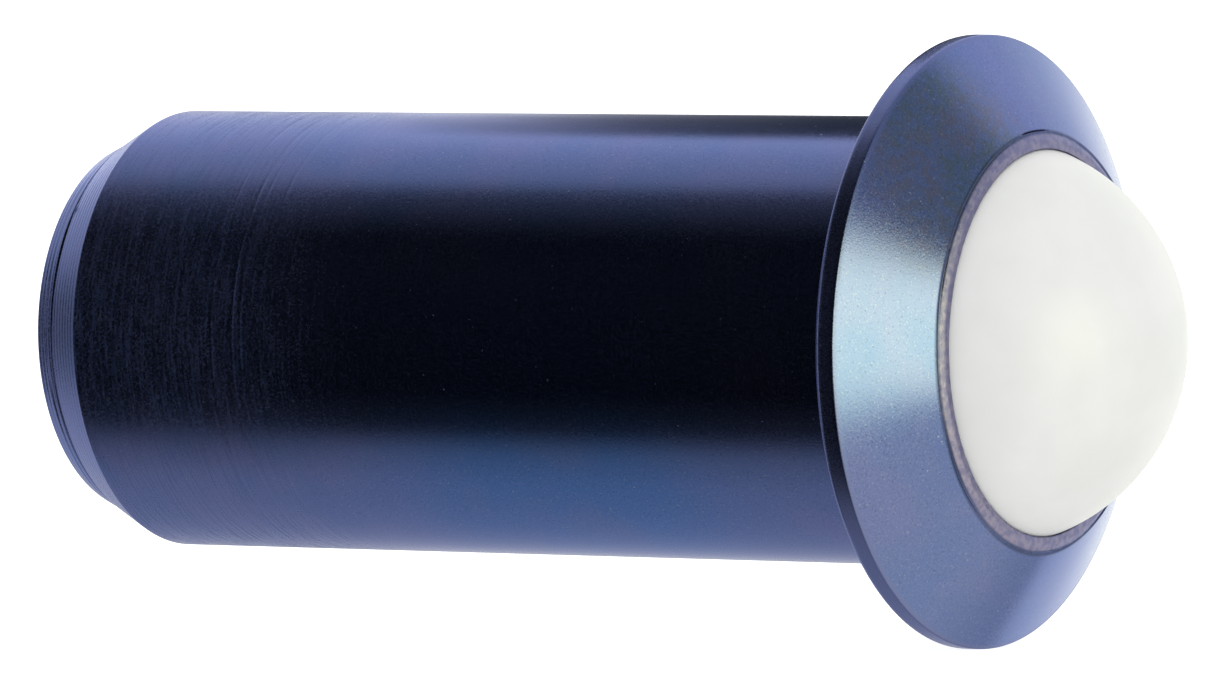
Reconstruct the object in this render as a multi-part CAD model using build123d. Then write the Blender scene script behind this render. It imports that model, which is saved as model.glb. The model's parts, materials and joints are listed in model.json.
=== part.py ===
from build123d import *

import math
import os

# Press-fit ball plunger: a turned steel housing with a flange, a coil spring and a captive plastic ball.
# Millimetres. The plunger's axis is X, with the ball towards +X and +Z up. The origin is on the axis,
# in the plane of the flange's back face, which stops against the surface the shank is pressed into.

# Driving sizes: a 3/8 inch shank and an 11/32 inch ball.
SHANK_D = 9.525
BALL_D = 8.731
SHANK_LENGTH = 19.73
FLANGE_D = 13.0

SHANK_R = SHANK_D / 2
BALL_R = BALL_D / 2
FLANGE_R = FLANGE_D / 2

# Flange: a thin cylindrical rim, then a cone up to the rolled lip.
RIM_THICKNESS = 0.44
RIM_BACK_R = 0.12
RIM_FRONT_R = 0.06
CONE_HEIGHT = 1.33

# Rolled lip, bent over the ball to hold it in. The ball rests on its inner face, a running gap away.
LIP_OUTER_X = RIM_THICKNESS + CONE_HEIGHT
LIP_OUTER_R = 4.46
LIP_INNER_R = 4.07
LIP_EDGE_R = 0.04
SEAT_GAP = 0.03

# Ball, pushed out against the lip by the spring. Pressed fully in, its tip is level with the lip.
BALL_TIP_X = 4.63
BALL_X = BALL_TIP_X - BALL_R
BALL_TRAVEL = 2.70

# Lead chamfer at the rear end, turned in two cuts: a steeper one beside the shank, a small step, and a
# slightly shallower one out to the rear face.
LEAD_ANGLE = 29.0
LEAD_END_ANGLE = 24.0
LEAD_LENGTH = 1.465
LEAD_FIRST_CUT = 0.88
LEAD_STEP = 0.015
LEAD_X = -SHANK_LENGTH
REAR_X = LEAD_X - LEAD_LENGTH
REAR_EDGE_R = 0.10

# Blind bore: a chamber, deep enough that the pressed ball clears its bottom cone by 0.1, then a narrower
# drilled bore for the spring.
CHAMBER_GAP = 0.06
CHAMBER_R = BALL_R + CHAMBER_GAP
CHAMBER_END_X = -5.0
DRILL_POINT_ANGLE = 59.0
SPRING_BORE_R = 3.10
SPRING_BORE_END_X = -16.50

# Spring with closed, ground ends, at its fitted length between the drill point's cone and the ball.
WIRE_D = 0.80
SPRING_OUTER_D = 5.90
ACTIVE_TURNS = 9
END_PITCH = WIRE_D + 0.02
SPRING_GAP = 0.02
WIRE_R = WIRE_D / 2
COIL_R = SPRING_OUTER_D / 2 - WIRE_R


def cone_length(radius_change):
    """Length along the axis over which the drill point's cone changes radius by this much."""
    return radius_change / math.tan(math.radians(DRILL_POINT_ANGLE))


def sphere_x(radius, sphere_r):
    """Distance along the axis from the ball's centre to a sphere's surface at this radius."""
    return math.sqrt(sphere_r**2 - radius**2)


def seat_point(radius):
    """Point on the lip's inner face, which is a sphere just larger than the ball."""
    return (BALL_X + sphere_x(radius, BALL_R + SEAT_GAP), radius)


def outer_points():
    """Outside of the housing, from the centre of the rear end to the lip's inner edge."""
    step_x = LEAD_X - LEAD_FIRST_CUT
    step_r = SHANK_R - LEAD_FIRST_CUT * math.tan(math.radians(LEAD_ANGLE))
    rear_r = step_r - LEAD_STEP - (step_x - REAR_X) * math.tan(math.radians(LEAD_END_ANGLE))
    return [
        (REAR_X, 0),
        (REAR_X, rear_r),
        (step_x, step_r - LEAD_STEP),
        (step_x, step_r),
        (LEAD_X, SHANK_R),
        (0, SHANK_R),
        (0, FLANGE_R),
        (RIM_THICKNESS, FLANGE_R),
        (LIP_OUTER_X, LIP_OUTER_R),
        seat_point(LIP_INNER_R),
    ]


def bore_points():
    """Inside of the housing, from the end of the lip's seat back to the centre of the rear end."""
    seat_end = seat_point(BALL_R)
    return [
        seat_end,
        (seat_end[0] - CHAMBER_GAP, CHAMBER_R),
        (CHAMBER_END_X, CHAMBER_R),
        (CHAMBER_END_X - cone_length(CHAMBER_R - SPRING_BORE_R), SPRING_BORE_R),
        (SPRING_BORE_END_X, SPRING_BORE_R),
        (SPRING_BORE_END_X - cone_length(SPRING_BORE_R), 0),
        (REAR_X, 0),
    ]


def corner(face, point):
    """The vertex of a flat outline that lies at this point."""
    return face.vertices().sort_by_distance((point[0], point[1], 0))[0]


def housing():
    """Turned body: lead chamfer, shank, flange, rolled lip and stepped blind bore, as one outline."""
    outside = outer_points()
    inside = bore_points()
    seat_middle = seat_point((LIP_INNER_R + BALL_R) / 2)
    seat = ThreePointArc(outside[-1], seat_middle, inside[0])
    outline = make_face([*Polyline(*outside).edges(), *seat.edges(), *Polyline(*inside).edges()])
    rounded_corners = {
        outside[1]: REAR_EDGE_R,
        outside[6]: RIM_BACK_R,
        outside[7]: RIM_FRONT_R,
        outside[8]: LIP_EDGE_R,
        outside[9]: LIP_EDGE_R / 2,
    }
    for point, radius in rounded_corners.items():
        outline = fillet(corner(outline, point), radius)
    return revolve(outline, Axis.X)


def coil(start_z, pitch, turns):
    """Part of the spring about Z, whose two ends lie in the XZ plane so that parts meet face to face."""
    path = Pos(0, 0, start_z) * Helix(pitch, pitch * turns, COIL_R)
    wire = Plane(origin=(COIL_R, 0, start_z), x_dir=(1, 0, 0), z_dir=(0, 1, 0)) * Circle(WIRE_R)
    return sweep(wire, path, is_frenet=True)


def spring():
    """Coil spring: a closed turn at each end, ground flat, and evenly pitched turns between them."""
    rear_x = SPRING_BORE_END_X - cone_length(SPRING_BORE_R - SPRING_OUTER_D / 2) + SPRING_GAP
    front_x = BALL_X - sphere_x(COIL_R - WIRE_R, BALL_R) - SPRING_GAP
    length = front_x - rear_x
    pitch = (length - 2 * END_PITCH) / ACTIVE_TURNS
    print("spring: length", length, "pitch", pitch)
    turns = coil(0, END_PITCH, 1)
    turns += coil(END_PITCH, pitch, ACTIVE_TURNS)
    turns += coil(length - END_PITCH, END_PITCH, 1)
    ground = Pos(0, 0, length / 2) * Cylinder(SPRING_OUTER_D, length)
    return Pos(rear_x, 0, 0) * Rot(0, 90, 0) * (turns & ground)


def ball():
    """Solid plastic ball, at rest against the lip."""
    return Pos(BALL_X, 0, 0) * Sphere(BALL_R)


os.makedirs("parts", exist_ok=True)
for name, build in {"housing": housing, "spring": spring, "ball": ball}.items():
    export_step(build(), f"parts/{name}.step")
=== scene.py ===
"""Looks of a press-fit ball plunger: blue-black turned steel housing, off-white plastic ball, wire spring."""

import json
import math

import bpy
from mathutils import Matrix, Vector, noise


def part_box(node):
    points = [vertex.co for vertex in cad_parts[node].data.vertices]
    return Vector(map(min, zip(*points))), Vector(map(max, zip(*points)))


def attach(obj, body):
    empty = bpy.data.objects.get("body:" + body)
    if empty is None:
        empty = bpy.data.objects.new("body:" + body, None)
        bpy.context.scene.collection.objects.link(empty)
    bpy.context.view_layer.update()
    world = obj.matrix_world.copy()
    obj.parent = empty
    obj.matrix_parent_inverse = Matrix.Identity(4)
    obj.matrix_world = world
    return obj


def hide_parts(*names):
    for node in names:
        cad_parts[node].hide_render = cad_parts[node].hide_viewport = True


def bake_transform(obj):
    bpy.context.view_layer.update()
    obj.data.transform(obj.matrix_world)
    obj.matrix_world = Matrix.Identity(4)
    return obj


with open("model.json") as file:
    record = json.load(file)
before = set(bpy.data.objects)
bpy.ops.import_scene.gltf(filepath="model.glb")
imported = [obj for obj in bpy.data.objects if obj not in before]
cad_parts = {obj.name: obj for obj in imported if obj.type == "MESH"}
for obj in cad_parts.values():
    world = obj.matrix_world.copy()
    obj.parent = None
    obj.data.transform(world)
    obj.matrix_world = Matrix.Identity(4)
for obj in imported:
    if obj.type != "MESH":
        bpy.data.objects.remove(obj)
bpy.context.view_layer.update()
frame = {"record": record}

# Lengths are in millimetres, in the frame of the CAD model.
MM = 0.001
SEGMENTS = 360


def box_mm(node):
    """Lowest and highest corner of a CAD node, in millimetres."""
    return [Vector(corner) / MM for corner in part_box(node)]


# Sizes that the frame gives.
HOUSING_LOW, HOUSING_HIGH = box_mm("housing")
SPRING_LOW, SPRING_HIGH = box_mm("spring")
BALL_LOW, BALL_HIGH = box_mm("ball")
SHANK = next(mount for mount in frame["record"]["mounts"] if mount["name"] == "shank")
SHANK_R = SHANK["dims"]["r_mm"]
LEAD_X = -SHANK["dims"]["length_mm"]
REAR_X = HOUSING_LOW.x
FLANGE_R = HOUSING_HIGH.z
BALL_R = (BALL_HIGH.x - BALL_LOW.x) / 2
BALL_X = (BALL_HIGH.x + BALL_LOW.x) / 2

# Sizes of the housing that its box doesn't show.
RIM_THICKNESS = 0.44
CONE_TOP_X = RIM_THICKNESS + 1.33
LIP_OUTER_R = 4.46
LIP_INNER_R = 4.07
SEAT_R = BALL_R + 0.012
LEAD_SLOPE = math.tan(math.radians(29.0))
LEAD_END_SLOPE = math.tan(math.radians(24.0))
LEAD_STEP_X = LEAD_X - 0.88
LEAD_STEP = 0.015
RIM_BACK_R = 0.12
RIM_FRONT_R = 0.06
CHAMBER_GAP = 0.06
CHAMBER_R = BALL_R + CHAMBER_GAP
CHAMBER_END_X = -5.0
SPRING_BORE_R = 3.10
SPRING_BORE_END_X = -16.5
DRILL_SLOPE = math.tan(math.radians(59.0))
REAR_EDGE_R = 0.10
LEAD_EDGE_R = 0.03
LIP_EDGE_R = 0.03

# Where the mesh is finer: the stretch of the shank with rings on it, the cone just outside the lip, and the
# lip's inner face.
RINGS_START_X = -16.4
RINGS_END_X = -14.6
FINE_CONE_X = CONE_TOP_X - 0.12
FINE_CONE_R = LIP_OUTER_R + 0.184
SEAT_STEPS = 6

# Spring wire.
WIRE_R = 0.40
COIL_R = SPRING_HIGH.z - WIRE_R
ACTIVE_TURNS = 9
END_PITCH = 2 * WIRE_R + 0.02


# ------------------------------------------------------------------ meshes


def mesh_object(name, vertices, faces, material):
    """A smooth-shaded mesh piece. The vertices are in millimetres."""
    mesh = bpy.data.meshes.new(name)
    mesh.from_pydata([Vector(vertex) * MM for vertex in vertices], [], faces)
    mesh.polygons.foreach_set("use_smooth", [True] * len(mesh.polygons))
    mesh.materials.append(material)
    mesh.validate()
    piece = bpy.data.objects.new(name, mesh)
    bpy.context.scene.collection.objects.link(piece)
    return piece


def revolve(name, profile, shape, material):
    """Turns a profile of (x, r) points, whose two ends lie on the X axis, into a closed body.

    shape(x, r, angle) gives a point's own x and r, so that small marks can vary round the body. The angle is
    measured about X from -Y, the side that the camera sees, towards +Z.
    """
    vertices = [(profile[0][0], 0, 0), (profile[-1][0], 0, 0)]
    rings = profile[1:-1]
    for turn in range(SEGMENTS):
        angle = 2 * math.pi * turn / SEGMENTS
        for x, r in rings:
            x, r = shape(x, r, angle)
            vertices.append((x, -r * math.cos(angle), r * math.sin(angle)))
    count = len(rings)
    faces = []
    for turn in range(SEGMENTS):
        here = 2 + turn * count
        there = 2 + (turn + 1) % SEGMENTS * count
        faces.append((0, there, here))
        faces.append((1, here + count - 1, there + count - 1))
        for i in range(count - 1):
            faces.append((here + i, there + i, there + i + 1, here + i + 1))
    return mesh_object(name, vertices, faces, material)


def corner_arc(before, corner, after, radius, steps=5):
    """Points of the arc that rounds off the corner between two straight runs."""
    to_before = (before - corner).normalized()
    to_after = (after - corner).normalized()
    half_angle = to_before.angle(to_after) / 2
    centre = corner + (to_before + to_after).normalized() * radius / math.sin(half_angle)
    start = corner + to_before * radius / math.tan(half_angle) - centre
    end = corner + to_after * radius / math.tan(half_angle) - centre
    return [centre + start.slerp(end, i / steps) * radius for i in range(steps + 1)]


def profile_points(corners):
    """Points of a profile from its corners, each (x, r, rounding radius, spacing of the run before it)."""
    points = [Vector(corners[0][:2])]
    for i, (x, r, radius, spacing) in enumerate(corners[1:], start=1):
        corner = Vector((x, r))
        stop = [corner]
        if radius > 0:
            stop = corner_arc(Vector(corners[i - 1][:2]), corner, Vector(corners[i + 1][:2]), radius)
        start = points[-1]
        count = max(1, round((stop[0] - start).length / spacing))
        points += [start.lerp(stop[0], k / count) for k in range(1, count)]
        points += stop
    return points


def bump(value, centre, width):
    """A smooth bump, 1 at the centre and near 0 one width away."""
    return math.exp(-(((value - centre) / width) ** 2) * 3)


def ramp(value, start, end):
    """0 before start, 1 after end, and smooth between them."""
    t = min(1, max(0, (value - start) / (end - start)))
    return t * t * (3 - 2 * t)


# ------------------------------------------------------------------ housing

# Marks on the housing: lengths in millimetres, places round it in degrees.
FEED_PITCH = 0.115
FEED_DEPTH = 0.004
CLEFT_DEPTH = 0.030
CLEFT_UNEVENNESS = 0.018
SECOND_CLEFT_DEPTH = 0.012
BURR_ANGLE = 38
BURR_SPREAD = 3.0
BURR_HEIGHT = 0.035
LIP_GROOVE_DEPTH = 0.045
LIP_CRACK_ANGLE = 85
LIP_CRACK_SPREAD = 8
LIP_CRACK_DEPTH = 0.08
LIP_CROWN = 0.03
LIP_CHATTER = 0.007
CONE_WAVINESS = 0.003
RIM_DENT_DEPTH = 0.012

# The rings on the shank: each one's place along X, width and depth.
RING_MARKS = [(-16.15, 0.05, 0.005), (-15.62, 0.07, 0.006), (-15.40, 0.05, 0.004), (-14.92, 0.06, 0.004)]


def angle_gap(angle, degrees):
    """Degrees between an angle in radians and one in degrees, from -180 to 180."""
    return (math.degrees(angle) - degrees + 180) % 360 - 180


def wander(angle, speed, seed):
    """Smooth noise from -1 to 1 that closes up after one turn."""
    return noise.noise(Vector((math.cos(angle) * speed, math.sin(angle) * speed, seed)))


def lead_marks(x, angle):
    """How far the lead chamfer stands in or out: feed marks, two clefts at its step, and a small burr."""
    feed = math.sin(2 * math.pi * (x + angle / (2 * math.pi) * FEED_PITCH) / FEED_PITCH)
    depth = FEED_DEPTH * feed * (0.7 + 0.5 * wander(angle, 2.0, 3.1))
    cleft = bump(x, LEAD_STEP_X - 0.04, 0.06) * (CLEFT_DEPTH + CLEFT_UNEVENNESS * wander(angle, 3.0, 7.7))
    uneven = SECOND_CLEFT_DEPTH + SECOND_CLEFT_DEPTH * wander(angle, 2.5, 1.3)
    second = bump(x, LEAD_STEP_X - 0.20, 0.04) * uneven
    burr_round = bump(angle_gap(angle, BURR_ANGLE), 0, BURR_SPREAD)
    burr = bump(x, LEAD_STEP_X + 0.01, 0.05) * burr_round * BURR_HEIGHT
    return depth - cleft - second + burr


def shank_marks(x, angle):
    """Rings left by the tool in the shank's rear third, each deeper in some places than in others."""
    depth = 0
    for place, width, deep in RING_MARKS:
        depth -= bump(x, place, width) * deep * (0.6 + 0.6 * wander(angle, 2.0, place))
    return depth


def lip_marks(x, r, angle):
    """How far the rolled lip stands out along X: a broken groove round it, a crack, and roller chatter."""
    groove_place = LIP_OUTER_R - 0.03 + 0.02 * wander(angle, 2.5, 5.5)
    strength = 0.5 + 0.9 * wander(angle, 2.2, 9.1)
    groove = bump(r, groove_place, 0.06) * LIP_GROOVE_DEPTH * max(0.1, strength)
    crack_round = ramp(LIP_CRACK_SPREAD - abs(angle_gap(angle, LIP_CRACK_ANGLE)), 0, 4)
    crack = bump(r, groove_place + 0.05, 0.022) * crack_round * LIP_CRACK_DEPTH
    crown = bump(r, (LIP_OUTER_R + LIP_INNER_R) / 2, 0.17) * LIP_CROWN
    chatter = LIP_CHATTER * noise.noise(Vector((r * 9, math.cos(angle) * 40, math.sin(angle) * 40)))
    return crown - groove - crack + chatter * ramp(LIP_OUTER_R + 0.02 - r, 0, 0.05)


def housing_shape(x, r, angle):
    """Small marks on the housing's outside. Its bore stays plain."""
    if x < LEAD_X and r > SPRING_BORE_R:
        r += lead_marks(x, angle) * ramp(LEAD_X - x, 0.02, 0.06) * ramp(x - REAR_X, 0.05, 0.12)
    elif x < -1 and r > CHAMBER_R + 0.1:
        r += shank_marks(x, angle)
    elif r > LIP_INNER_R - 0.02 and x > CONE_TOP_X - 0.25:
        x += lip_marks(x, r, angle) * ramp(x, CONE_TOP_X - 0.2, CONE_TOP_X - 0.05)
    elif r > LIP_OUTER_R and x > RIM_THICKNESS:
        x += CONE_WAVINESS * noise.noise(Vector((r * 0.8, math.cos(angle) * 3, math.sin(angle) * 3)))
    elif r > FLANGE_R - 0.1:
        r -= RIM_DENT_DEPTH * max(0, wander(angle, 14, 2.2) - 0.35)
    return x, r


def seat_x(radius):
    """Where the lip's inner face, a sphere a running gap outside the ball, has this radius."""
    return BALL_X + math.sqrt(SEAT_R**2 - radius**2)


def housing_corners():
    """The housing's outline, from the centre of its rear end round the outside and back through the bore."""
    step_r = SHANK_R - (LEAD_X - LEAD_STEP_X) * LEAD_SLOPE
    rear_r = step_r - LEAD_STEP - (LEAD_STEP_X - REAR_X) * LEAD_END_SLOPE
    seat = [LIP_INNER_R + (BALL_R - LIP_INNER_R) * i / SEAT_STEPS for i in range(1, SEAT_STEPS + 1)]
    outside = [
        (REAR_X, 0, 0, 1),
        (REAR_X, rear_r, REAR_EDGE_R, 0.25),
        (LEAD_STEP_X - 0.01, step_r - LEAD_STEP, 0, 0.018),
        (LEAD_STEP_X, step_r, 0, 0.01),
        (LEAD_X, SHANK_R, LEAD_EDGE_R, 0.018),
        (RINGS_START_X, SHANK_R, 0, 0.25),
        (RINGS_END_X, SHANK_R, 0, 0.02),
        (0, SHANK_R, 0, 0.3),
        (0, FLANGE_R, RIM_BACK_R, 0.15),
        (RIM_THICKNESS, FLANGE_R, RIM_FRONT_R, 0.08),
        (FINE_CONE_X, FINE_CONE_R, 0, 0.07),
        (CONE_TOP_X, LIP_OUTER_R, 0, 0.012),
        (seat_x(LIP_INNER_R), LIP_INNER_R, LIP_EDGE_R, 0.012),
    ]
    bore = [
        (seat_x(BALL_R) - CHAMBER_GAP, CHAMBER_R, 0, 0.1),
        (CHAMBER_END_X, CHAMBER_R, 0, 0.4),
        (CHAMBER_END_X - (CHAMBER_R - SPRING_BORE_R) / DRILL_SLOPE, SPRING_BORE_R, 0, 0.3),
        (SPRING_BORE_END_X, SPRING_BORE_R, 0, 0.6),
        (SPRING_BORE_END_X - SPRING_BORE_R / DRILL_SLOPE, 0, 0, 0.4),
    ]
    return outside + [(seat_x(r), r, 0, 0.1) for r in seat] + bore


def make_housing():
    """The turned body: lead chamfer, shank, flange, rolled lip and bore."""
    piece = revolve("housing_shell", profile_points(housing_corners()), housing_shape, oxide_steel())
    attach(piece, "housing")
    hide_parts("housing")


# ------------------------------------------------------------------ ball and spring

BALL_INSET = 0.004
BALL_UNEVENNESS = 0.003
WELD_DISTANCE = 0.0005
WIRE_SIDES = 20


def make_ball():
    """The ball, as a rounded cube so that no pole shows, very slightly uneven from grinding."""
    steps = 64
    vertices = []
    faces = []
    for axis in range(3):
        for side in (-1, 1):
            first = len(vertices)
            for i in range(steps + 1):
                for j in range(steps + 1):
                    u = math.tan((i / steps - 0.5) * math.pi / 2)
                    v = math.tan((j / steps - 0.5) * math.pi / 2)
                    direction = Vector((side, u, v * side)).normalized()
                    for _ in range(axis):
                        direction = Vector((direction.z, direction.x, direction.y))
                    radius = BALL_R - BALL_INSET + BALL_UNEVENNESS * noise.noise(direction * 2.5)
                    vertices.append(direction * radius + Vector((BALL_X, 0, 0)))
            for i in range(steps):
                for j in range(steps):
                    a = first + i * (steps + 1) + j
                    faces.append((a, a + steps + 1, a + steps + 2, a + 1))
    piece = mesh_object("nose_ball", vertices, faces, ball_plastic())
    weld(piece)
    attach(piece, "ball")
    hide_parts("ball")


def weld(piece):
    """Joins vertices that lie in the same place."""
    modifier = piece.modifiers.new("weld", "WELD")
    modifier.merge_threshold = WELD_DISTANCE * MM
    graph = bpy.context.evaluated_depsgraph_get()
    piece.data = bpy.data.meshes.new_from_object(piece.evaluated_get(graph))
    piece.modifiers.clear()


def spring_height(turn, length):
    """Distance of the wire's centre from the spring's rear end after this many turns."""
    pitch = (length - 2 * END_PITCH) / ACTIVE_TURNS
    if turn < 1:
        return END_PITCH * turn
    if turn < 1 + ACTIVE_TURNS:
        return END_PITCH + pitch * (turn - 1)
    return length - END_PITCH * (2 + ACTIVE_TURNS - turn)


def make_spring():
    """The spring: round wire, with a closed turn at each end that is ground flat."""
    length = SPRING_HIGH.x - SPRING_LOW.x
    turns = ACTIVE_TURNS + 2
    per_turn = 60
    vertices = []
    for i in range(turns * per_turn + 1):
        turn = i / per_turn
        angle = 2 * math.pi * turn
        centre = spring_height(turn, length)
        for k in range(WIRE_SIDES):
            wire = 2 * math.pi * k / WIRE_SIDES
            x = min(length, max(0, centre + WIRE_R * math.sin(wire)))
            r = COIL_R + WIRE_R * math.cos(wire)
            vertices.append((SPRING_LOW.x + x, -r * math.sin(angle), r * math.cos(angle)))
    last_ring = range(len(vertices) - WIRE_SIDES, len(vertices))
    faces = [tuple(range(WIRE_SIDES)), tuple(reversed(last_ring))]
    for i in range(turns * per_turn):
        for k in range(WIRE_SIDES):
            a = i * WIRE_SIDES + k
            b = i * WIRE_SIDES + (k + 1) % WIRE_SIDES
            faces.append((a, a + WIRE_SIDES, b + WIRE_SIDES, b))
    piece = mesh_object("coil_spring", vertices, faces, spring_wire())
    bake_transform(piece)
    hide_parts("spring")


# ------------------------------------------------------------------ materials


def add(tree, kind, inputs=(), **settings):
    """A shader node with its settings, and with values or other nodes' outputs in its inputs."""
    made = tree.nodes.new("ShaderNode" + kind)
    for name, value in settings.items():
        setattr(made, name, value)
    for socket, value in dict(inputs).items():
        if isinstance(value, bpy.types.NodeSocket):
            tree.links.new(value, made.inputs[socket])
        else:
            made.inputs[socket].default_value = value
    return made


def math_node(tree, operation, a, b=0.0):
    """The output of one Math node."""
    return add(tree, "Math", {0: a, 1: b}, operation=operation).outputs[0]


def product(tree, a, b):
    """One mask or number times another."""
    return math_node(tree, "MULTIPLY", a, b)


def remap(tree, value, low, high, new_low, new_high, smooth=True):
    """The value, moved from one range to another and held inside it."""
    kind = "SMOOTHSTEP" if smooth else "LINEAR"
    sockets = {"Value": value, 1: low, 2: high, 3: new_low, 4: new_high}
    return add(tree, "MapRange", sockets, interpolation_type=kind).outputs[0]


def mix_colour(tree, factor, a, b):
    """Colour a at factor 0 and b at factor 1."""
    return add(tree, "Mix", {0: factor, 6: a, 7: b}, data_type="RGBA").outputs[2]


def new_material(name):
    """An empty node material: its tree, its Principled shader, and object coordinates in millimetres."""
    material = bpy.data.materials.new(name)
    material.use_nodes = True
    tree = material.node_tree
    shader = tree.nodes["Principled BSDF"]
    coordinates = add(tree, "TexCoord").outputs["Object"]
    mm = add(tree, "VectorMath", {0: coordinates, "Scale": 1 / MM}, operation="SCALE").outputs[0]
    return material, tree, shader, mm


def radius_of(tree, axes):
    """Distance from the X axis."""
    flat = add(tree, "CombineXYZ", {1: axes[1], 2: axes[2]}).outputs[0]
    return add(tree, "VectorMath", {0: flat}, operation="LENGTH").outputs["Value"]


def ring_noise(tree, mm, per_mm, drift, seed, detail=2.0):
    """Noise that changes fast along X and along the radius and slowly round the axis, as turning marks do."""
    axes = add(tree, "SeparateXYZ", {0: mm}).outputs
    radius = radius_of(tree, axes)
    x = product(tree, axes[0], per_mm)
    r = product(tree, radius, per_mm)
    y = product(tree, axes[1], drift)
    z = add(tree, "Math", {0: axes[2], 1: drift, 2: seed}, operation="MULTIPLY_ADD").outputs[0]
    place = add(tree, "CombineXYZ", {0: x, 1: r, 2: y}).outputs[0]
    sockets = {"Vector": place, "W": z, "Scale": 1.0, "Detail": detail, "Roughness": 0.6}
    return add(tree, "TexNoise", sockets, noise_dimensions="4D").outputs[0]


def plain_noise(tree, mm, per_mm, detail=2.0, roughness=0.5):
    """Noise with this many blobs to a millimetre."""
    sockets = {"Vector": mm, "Scale": per_mm, "Detail": detail, "Roughness": roughness}
    return add(tree, "TexNoise", sockets).outputs[0]


# Colours of the black oxide, and the places of its patches.
OXIDE_BLUE = (0.100, 0.135, 0.300, 1)
OXIDE_DEEP = (0.090, 0.128, 0.300, 1)
OXIDE_VIOLET = (0.110, 0.134, 0.305, 1)
OXIDE_BRIGHT_BLUE = (0.058, 0.128, 0.330, 1)
OXIDE_STAIN = (0.086, 0.118, 0.160, 1)
OXIDE_BROWN = (0.120, 0.120, 0.185, 1)
# Near black: the oxide's dark grains, and also the painted shade in the groove round the lip.
OXIDE_BLACK_AND_GROOVE_SHADE = (0.012, 0.014, 0.030, 1)
LIP_GREY = (0.155, 0.155, 0.28, 1)
LIP_WORN = (0.225, 0.21, 0.325, 1)
RIM_GREY = (0.11, 0.135, 0.29, 1)
SPECK = (0.24, 0.27, 0.40, 1)
EDGE_TINT = (0.80, 0.83, 1.0, 1)
STAIN_PLACE = (1.2, -3.1, 3.8)
BRIGHT_BLUE_PLACE = (-8.0, -3.1, -3.6)
LIP_SPECK_PLACE = (CONE_TOP_X, -2.80, -3.22)
ROUGH_START_X = -12.0
ROUGH_FULL_X = -16.5


def patch(tree, mm, place, outer, inner):
    """1 within the inner distance of a place, 0 beyond the outer one, in millimetres."""
    gap = add(tree, "VectorMath", {0: mm, 1: place}, operation="DISTANCE").outputs["Value"]
    return remap(tree, gap, outer, inner, 0, 1)


def oxide_colour(tree, mm, rings):
    """Cloudy blue and violet, a bright blue patch under the shank and a brown-green stain on the cone."""
    clouds = plain_noise(tree, mm, 0.45, detail=4.0)
    colour = mix_colour(tree, remap(tree, clouds, 0.40, 0.60, 0, 1), OXIDE_DEEP, OXIDE_VIOLET)
    colour = mix_colour(tree, remap(tree, rings, 0.35, 0.65, 0, 0.4), colour, OXIDE_BLUE)
    cloudy = remap(tree, clouds, 0.35, 0.60, 0.5, 1)
    blue = product(tree, patch(tree, mm, BRIGHT_BLUE_PLACE, 6.5, 1.5), cloudy)
    colour = mix_colour(tree, blue, colour, OXIDE_BRIGHT_BLUE)
    mottling = plain_noise(tree, mm, 4.0, detail=6.0, roughness=0.75)
    stain = product(tree, patch(tree, mm, STAIN_PLACE, 3.2, 1.3), remap(tree, mottling, 0.40, 0.58, 0.4, 1))
    brown = product(tree, remap(tree, clouds, 0.40, 0.56, 0, 1), remap(tree, mottling, 0.45, 0.60, 0.3, 1))
    return mix_colour(tree, stain, colour, mix_colour(tree, brown, OXIDE_STAIN, OXIDE_BROWN))


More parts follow.
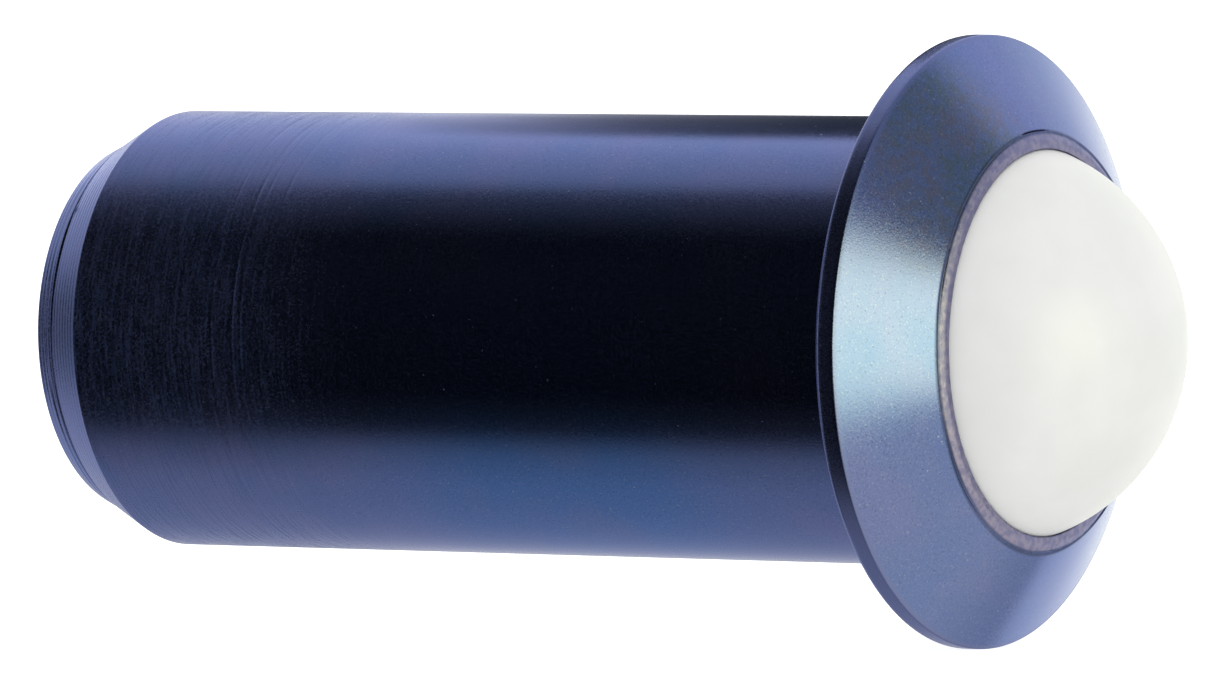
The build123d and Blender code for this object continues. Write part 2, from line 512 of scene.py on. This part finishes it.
def oxide_steel():
    """Blue-black oxide on turned steel: tool marks, clouds of colour, a rough lip and rim, and specks."""
    material, tree, shader, mm = new_material("black_oxide_steel")
    axes = add(tree, "SeparateXYZ", {0: mm}).outputs
    radius = radius_of(tree, axes)
    fine_rings = ring_noise(tree, mm, 17.0, 0.8, 1.7, detail=3.0)
    broad_rings = ring_noise(tree, mm, 2.6, 0.12, 5.3)
    grain = plain_noise(tree, mm, 22.0, detail=2.0, roughness=0.7)

    # Where each finish lies: the rougher rear third, the specks, the rim and the lip; and the groove round
    # the lip, where shade is painted in.
    rear = remap(tree, axes[0], ROUGH_START_X, ROUGH_FULL_X, 0, 1)
    rear = product(tree, rear, remap(tree, axes[0], LEAD_X - 0.05, LEAD_X, 0.45, 1))
    dots = add(tree, "TexVoronoi", {"Vector": mm, "Scale": 3.2}, feature="F1").outputs["Distance"]
    specks = product(tree, remap(tree, dots, 0.10, 0.04, 0, 1), remap(tree, grain, 0.45, 0.62, 0, 1))
    rim = remap(tree, radius, FLANGE_R - 0.12, FLANGE_R - 0.04, 0, 1)
    lip = remap(tree, axes[0], CONE_TOP_X - 0.01, CONE_TOP_X + 0.02, 0, 1)
    lip_wear = remap(tree, plain_noise(tree, mm, 6.0, detail=4.0), 0.38, 0.62, 0, 1)
    # Painted shade: the groove between the cone and the lip is painted near black, in broken stretches round
    # it.
    groove_gap = math_node(tree, "ABSOLUTE", math_node(tree, "SUBTRACT", radius, LIP_OUTER_R - 0.01))
    broken = remap(tree, broad_rings, 0.3, 0.6, 0.3, 1)
    groove = product(tree, remap(tree, groove_gap, 0.08, 0.03, 0, 0.95), broken)
    groove = product(tree, groove, remap(tree, axes[0], CONE_TOP_X - 0.3, CONE_TOP_X - 0.15, 0, 1))

    colour = oxide_colour(tree, mm, broad_rings)
    overlays = [
        (remap(tree, grain, 0.44, 0.26, 0, 0.45), OXIDE_BLACK_AND_GROOVE_SHADE),
        (remap(tree, grain, 0.56, 0.74, 0, 0.45), SPECK),
        (rim, RIM_GREY),
        (lip, mix_colour(tree, lip_wear, LIP_GREY, LIP_WORN)),
        (specks, SPECK),
        # The groove round the lip: painted shade, near black.
        (groove, OXIDE_BLACK_AND_GROOVE_SHADE),
        (patch(tree, mm, LIP_SPECK_PLACE, 0.10, 0.05), OXIDE_BROWN),
    ]
    for amount, shade in overlays:
        colour = mix_colour(tree, amount, colour, shade)
    tree.links.new(colour, shader.inputs["Base Color"])
    shader.inputs["Metallic"].default_value = 1.0
    shader.inputs["Specular Tint"].default_value = EDGE_TINT

    streaks = remap(tree, fine_rings, 0.42, 0.66, 0.0, 0.15)
    rough = remap(tree, grain, 0.3, 0.7, 0.11, 0.22)
    rougher = [
        product(tree, rear, remap(tree, grain, 0.45, 0.72, 0.05, 0.15)),
        product(tree, streaks, remap(tree, rear, 0, 1, 0.10, 0.75, smooth=False)),
        product(tree, specks, 0.25),
        product(tree, lip, 0.25),
        product(tree, rim, 0.10),
    ]
    for amount in rougher:
        rough = math_node(tree, "ADD", rough, amount)
    tree.links.new(rough, shader.inputs["Roughness"])

    lip_grain = product(tree, grain, remap(tree, lip, 0, 1, 1.0, 4.0, smooth=False))
    ring_height = product(tree, fine_rings, remap(tree, rear, 0, 1, 0.15, 0.9, smooth=False))
    height = math_node(tree, "ADD", lip_grain, ring_height)
    relief = add(tree, "Bump", {"Strength": 0.65, "Distance": 0.003 * MM, "Height": height})
    tree.links.new(relief.outputs[0], shader.inputs["Normal"])
    return material


BALL_SHADE = (0.83, 0.84, 0.82, 1)
BALL_WHITE = (0.87, 0.875, 0.862, 1)


def ball_plastic():
    """Off-white acetal, ground smooth, faintly cloudy under the surface."""
    material, tree, shader, mm = new_material("white_acetal")
    clouds = plain_noise(tree, mm, 0.5, detail=3.0)
    colour = mix_colour(tree, remap(tree, clouds, 0.35, 0.65, 0, 1), BALL_SHADE, BALL_WHITE)
    tree.links.new(colour, shader.inputs["Base Color"])
    shader.inputs["Subsurface Weight"].default_value = 0.25
    shader.inputs["Subsurface Radius"].default_value = (1.0, 0.95, 0.9)
    shader.inputs["Subsurface Scale"].default_value = 0.8 * MM
    grain = plain_noise(tree, mm, 14.0, detail=3.0)
    tree.links.new(remap(tree, grain, 0.3, 0.7, 0.36, 0.46), shader.inputs["Roughness"])
    relief = add(tree, "Bump", {"Strength": 0.25, "Distance": 0.003 * MM, "Height": grain})
    tree.links.new(relief.outputs[0], shader.inputs["Normal"])
    return material


WIRE_DARK = (0.45, 0.44, 0.42, 1)
WIRE_LIGHT = (0.62, 0.61, 0.58, 1)


def spring_wire():
    """Bright drawn wire with fine die lines."""
    material, tree, shader, mm = new_material("spring_steel")
    grain = plain_noise(tree, mm, 8.0, detail=3.0)
    colour = mix_colour(tree, grain, WIRE_DARK, WIRE_LIGHT)
    tree.links.new(colour, shader.inputs["Base Color"])
    shader.inputs["Metallic"].default_value = 1.0
    tree.links.new(remap(tree, grain, 0.3, 0.7, 0.22, 0.38), shader.inputs["Roughness"])
    relief = add(tree, "Bump", {"Strength": 0.3, "Distance": 0.004 * MM, "Height": grain})
    tree.links.new(relief.outputs[0], shader.inputs["Normal"])
    return material


# ------------------------------------------------------------------ studio

WHITE = (1, 1, 1, 1)
BLACK = (0, 0, 0, 1)
TABLE_DARK = (0.86, 0.86, 0.86, 1)
TABLE_LIGHT = (0.90, 0.90, 0.90, 1)
TABLE_GLOW = 0.85
TABLE_HALF_WIDTH = 12000


def floor_material():
    """A white table that glows, so that shadows on it stay faint."""
    material, tree, shader, mm = new_material("white_table")
    grain = plain_noise(tree, mm, 0.02, detail=1.0)
    colour = mix_colour(tree, grain, TABLE_DARK, TABLE_LIGHT)
    tree.links.new(colour, shader.inputs["Base Color"])
    shader.inputs["Roughness"].default_value = 0.9
    shader.inputs["Specular IOR Level"].default_value = 0.0
    shader.inputs["Emission Color"].default_value = WHITE
    shader.inputs["Emission Strength"].default_value = TABLE_GLOW
    return material


def make_floor():
    """A wide plain table that the flange's rim rests on. Reflections and matt surfaces don't see it."""
    half = TABLE_HALF_WIDTH
    z = -FLANGE_R
    corners = [(-half, -half, z), (half, -half, z), (half, half, z), (-half, half, z)]
    floor = mesh_object("table_top", corners, [(0, 1, 2, 3)], floor_material())
    floor.visible_glossy = False
    floor.visible_diffuse = False


# What the studio shows at each angle about X, seen in reflections. The angle, in degrees, runs from -180
# (behind the object) through -90 (below), 0 (the dark side, in front) and 90 (above) to 180 (behind again).
STUDIO_RING = [
    (-180, 0.80),
    (-140, 0.76),
    (-112, 0.74),
    (-84, 0.68),
    (-64, 0.47),
    (-50, 0.06),
    (-30, 0.01),
    (54, 0.01),
    (64, 0.06),
    (80, 0.20),
    (88, 0.76),
    (112, 1.15),
    (128, 1.38),
    (150, 1.35),
    (180, 0.80),
]

BACK_WALL = (1.42, 1.45, 1.32, 1)

# Lights on the right, a low one, a dim high one and a bright window: the direction of each, the angles from
# it at which it ends and is full, in degrees, and its colour.
STUDIO_SPOTS = [
    ((0.80, 0.17, -0.55), 62, 18, (1.62, 1.55, 1.25, 1)),
    ((0.78, 0.24, 0.58), 34, 16, (0.54, 0.60, 0.66, 1)),
    ((0.985, -0.12, 0.055), 23, 8, (5.4, 5.5, 2.8, 1)),
]


def spot(tree, direction, towards, outer, inner):
    """1 within the inner angle of a direction, 0 beyond the outer one, in degrees."""
    sockets = {0: direction, 1: Vector(towards).normalized()}
    dot = add(tree, "VectorMath", sockets, operation="DOT_PRODUCT").outputs["Value"]
    return remap(tree, dot, math.cos(math.radians(outer)), math.cos(math.radians(inner)), 0, 1)


def studio_reflection(tree, direction):
    """The colour of the studio that shiny parts reflect: dark in front, bright above, below and behind."""
    axes = add(tree, "SeparateXYZ", {0: direction}).outputs
    front = product(tree, axes[1], -1.0)
    angle = math_node(tree, "ARCTAN2", axes[2], front)
    place = remap(tree, angle, -math.pi, math.pi, 0, 1, smooth=False)
    ring = add(tree, "ValToRGB", {0: place})
    stops = ring.color_ramp.elements
    while len(stops) < len(STUDIO_RING):
        stops.new(0.5)
    for stop, (degrees, level) in zip(stops, STUDIO_RING):
        stop.position = (degrees + 180) / 360
        stop.color = (level, level, level, 1)
    colour = ring.outputs[0]

    # The left wall: dark at the height of the axis, brighter above, below and towards the back, with a
    # light strip towards the camera.
    above = remap(tree, axes[2], 0.02, 0.32, 0.40, 0.95)
    below = remap(tree, axes[2], -0.02, -0.40, 0.0, 0.55)
    behind = product(tree, remap(tree, axes[1], 0.3, 0.72, 0, 0.7), remap(tree, axes[2], -0.05, 0.1, 0, 1))
    shading = remap(tree, axes[1], -0.17, -0.04, 0.05, 1.0)
    strip = remap(tree, axes[1], -0.28, -0.42, 0.0, 1.0)
    strip = product(tree, strip, remap(tree, axes[0], -0.74, -0.80, 0, 1))
    wall = product(tree, math_node(tree, "ADD", above, below), shading)
    wall = math_node(tree, "ADD", math_node(tree, "ADD", wall, behind), strip)
    wall_colour = add(tree, "CombineXYZ", {0: wall, 1: wall, 2: wall}).outputs[0]
    colour = mix_colour(tree, remap(tree, axes[0], -0.60, -0.70, 0, 1), colour, wall_colour)

    # The back wall, bright from a sharp edge on, and the lights on the right.
    colour = mix_colour(tree, remap(tree, axes[1], 0.855, 0.89, 0, 1), colour, BACK_WALL)
    for towards, outer, inner, shade in STUDIO_SPOTS:
        colour = mix_colour(tree, spot(tree, direction, towards, outer, inner), colour, shade)
    return colour


# Light on matt surfaces: brightest from this side, between these two levels.
SOFT_LIGHT_FROM = (0.85, -0.35, -0.1)
SOFT_LIGHT_LOW = 0.64
SOFT_LIGHT_HIGH = 1.10


def make_world():
    """A white room for the camera and for matt surfaces, and the shaped studio for reflections."""
    world = bpy.data.worlds.new("studio")
    world.use_nodes = True
    bpy.context.scene.world = world
    tree = world.node_tree
    background = tree.nodes["Background"]
    direction = add(tree, "TexCoord").outputs["Generated"]
    sockets = {0: direction, 1: SOFT_LIGHT_FROM}
    side = add(tree, "VectorMath", sockets, operation="DOT_PRODUCT").outputs["Value"]
    level = remap(tree, side, -1, 1, SOFT_LIGHT_LOW, SOFT_LIGHT_HIGH, smooth=False)
    soft = add(tree, "CombineXYZ", {0: level, 1: level, 2: level}).outputs[0]
    rays = add(tree, "LightPath").outputs
    shown = mix_colour(tree, rays["Is Camera Ray"], soft, WHITE)
    shown = mix_colour(tree, rays["Is Glossy Ray"], shown, studio_reflection(tree, direction))
    tree.links.new(shown, background.inputs["Color"])
    background.inputs["Strength"].default_value = 1.0


# The grey card, in millimetres: its height range, how far behind the axis it stands, its width, and where its
# left edge is at the bottom and at the top.
CARD_LOW = 7
CARD_HIGH = 32
CARD_Y = 20
CARD_WIDTH = 17
CARD_LEFT_LOW = -26
CARD_LEFT_HIGH = -35
CARD_LIGHT = (0.60, 0.60, 0.60, 1)
CARD_DARK = (0.08, 0.09, 0.09, 1)
CARD_GLOW = (0.80, 0.80, 0.80, 1)


def make_grey_card():
    """A slanted card above and behind, which only reflections show: a dark line along the shank's top edge.

    It is darkest on the right, and glows more and more to the left.
    """
    material, tree, shader, mm = new_material("grey_card")
    axes = add(tree, "SeparateXYZ", {0: mm}).outputs
    along = math_node(tree, "ADD", axes[0], product(tree, axes[2], 0.35))
    uneven = math_node(tree, "ADD", along, product(tree, plain_noise(tree, mm, 0.4), 4.0))
    level = remap(tree, uneven, -23, -8, 0, 1)
    colour = mix_colour(tree, level, CARD_LIGHT, CARD_DARK)
    tree.links.new(colour, shader.inputs["Base Color"])
    glow = mix_colour(tree, remap(tree, uneven, -25, -14, 0, 1), CARD_GLOW, BLACK)
    tree.links.new(glow, shader.inputs["Emission Color"])
    shader.inputs["Emission Strength"].default_value = 1.0
    shader.inputs["Roughness"].default_value = 0.9
    shader.inputs["Specular IOR Level"].default_value = 0.0
    corners = [
        (CARD_LEFT_LOW, CARD_Y, CARD_LOW),
        (CARD_LEFT_LOW + CARD_WIDTH, CARD_Y, CARD_LOW),
        (CARD_LEFT_HIGH + CARD_WIDTH, CARD_Y, CARD_HIGH),
        (CARD_LEFT_HIGH, CARD_Y, CARD_HIGH),
    ]
    card = mesh_object("grey_card", corners, [(0, 1, 2, 3)], material)
    card.visible_camera = False
    card.visible_diffuse = False
    card.visible_shadow = False
    card.visible_transmission = False


# The lamp, in metres and watts.
PANEL_SIZE = 0.30
PANEL_POWER = 0.05
PANEL_PLACE = (0.10, -0.06, 0.25)


def make_lights():
    """One large soft panel overhead, which matt surfaces see and reflections don't."""
    panel = bpy.data.lights.new("overhead_panel", "AREA")
    panel.shape = "DISK"
    panel.size = PANEL_SIZE
    panel.energy = PANEL_POWER
    lamp = bpy.data.objects.new("overhead_panel", panel)
    lamp.location = PANEL_PLACE
    lamp.rotation_euler = (-Vector(PANEL_PLACE)).to_track_quat("-Z", "Y").to_euler()
    lamp.visible_glossy = False
    bpy.context.scene.collection.objects.link(lamp)


# ------------------------------------------------------------------ camera

# The camera looks at the shank from the side, turned towards the ball's end, nearly level, with a long lens.
CAMERA_AZIMUTH = math.radians(31.84)
CAMERA_ELEVATION = math.radians(1.73)
CAMERA_DISTANCE = 272.1
CAMERA_LENS_MM = 378.3
CAMERA_SENSOR_MM = 36
AIM_RIGHT_OF_CENTRE = 7.965
AIM_ABOVE_CENTRE = 0.170


def make_camera():
    """The camera. The rim's front edge, on the axis, lies right of the picture's centre."""
    turn = Vector((math.sin(CAMERA_AZIMUTH), -math.cos(CAMERA_AZIMUTH), 0))
    back = turn * math.cos(CAMERA_ELEVATION) + Vector((0, 0, math.sin(CAMERA_ELEVATION)))
    right = Vector((math.cos(CAMERA_AZIMUTH), math.sin(CAMERA_AZIMUTH), 0))
    up = back.cross(right)
    place = Vector((RIM_THICKNESS, 0, 0)) + back * CAMERA_DISTANCE
    place -= right * AIM_RIGHT_OF_CENTRE + up * AIM_ABOVE_CENTRE
    data = bpy.data.cameras.new("camera")
    data.sensor_width = CAMERA_SENSOR_MM
    data.lens = CAMERA_LENS_MM
    data.clip_start = 0.01
    data.clip_end = 100
    camera = bpy.data.objects.new("camera", data)
    axes = Matrix((right, up, back)).transposed().to_4x4()
    camera.matrix_world = Matrix.Translation(place * MM) @ axes
    bpy.context.scene.collection.objects.link(camera)
    bpy.context.scene.camera = camera


make_housing()
make_ball()
make_spring()
make_floor()
make_world()
make_grey_card()
make_lights()
make_camera()
bpy.context.scene.view_settings.view_transform = "Standard"
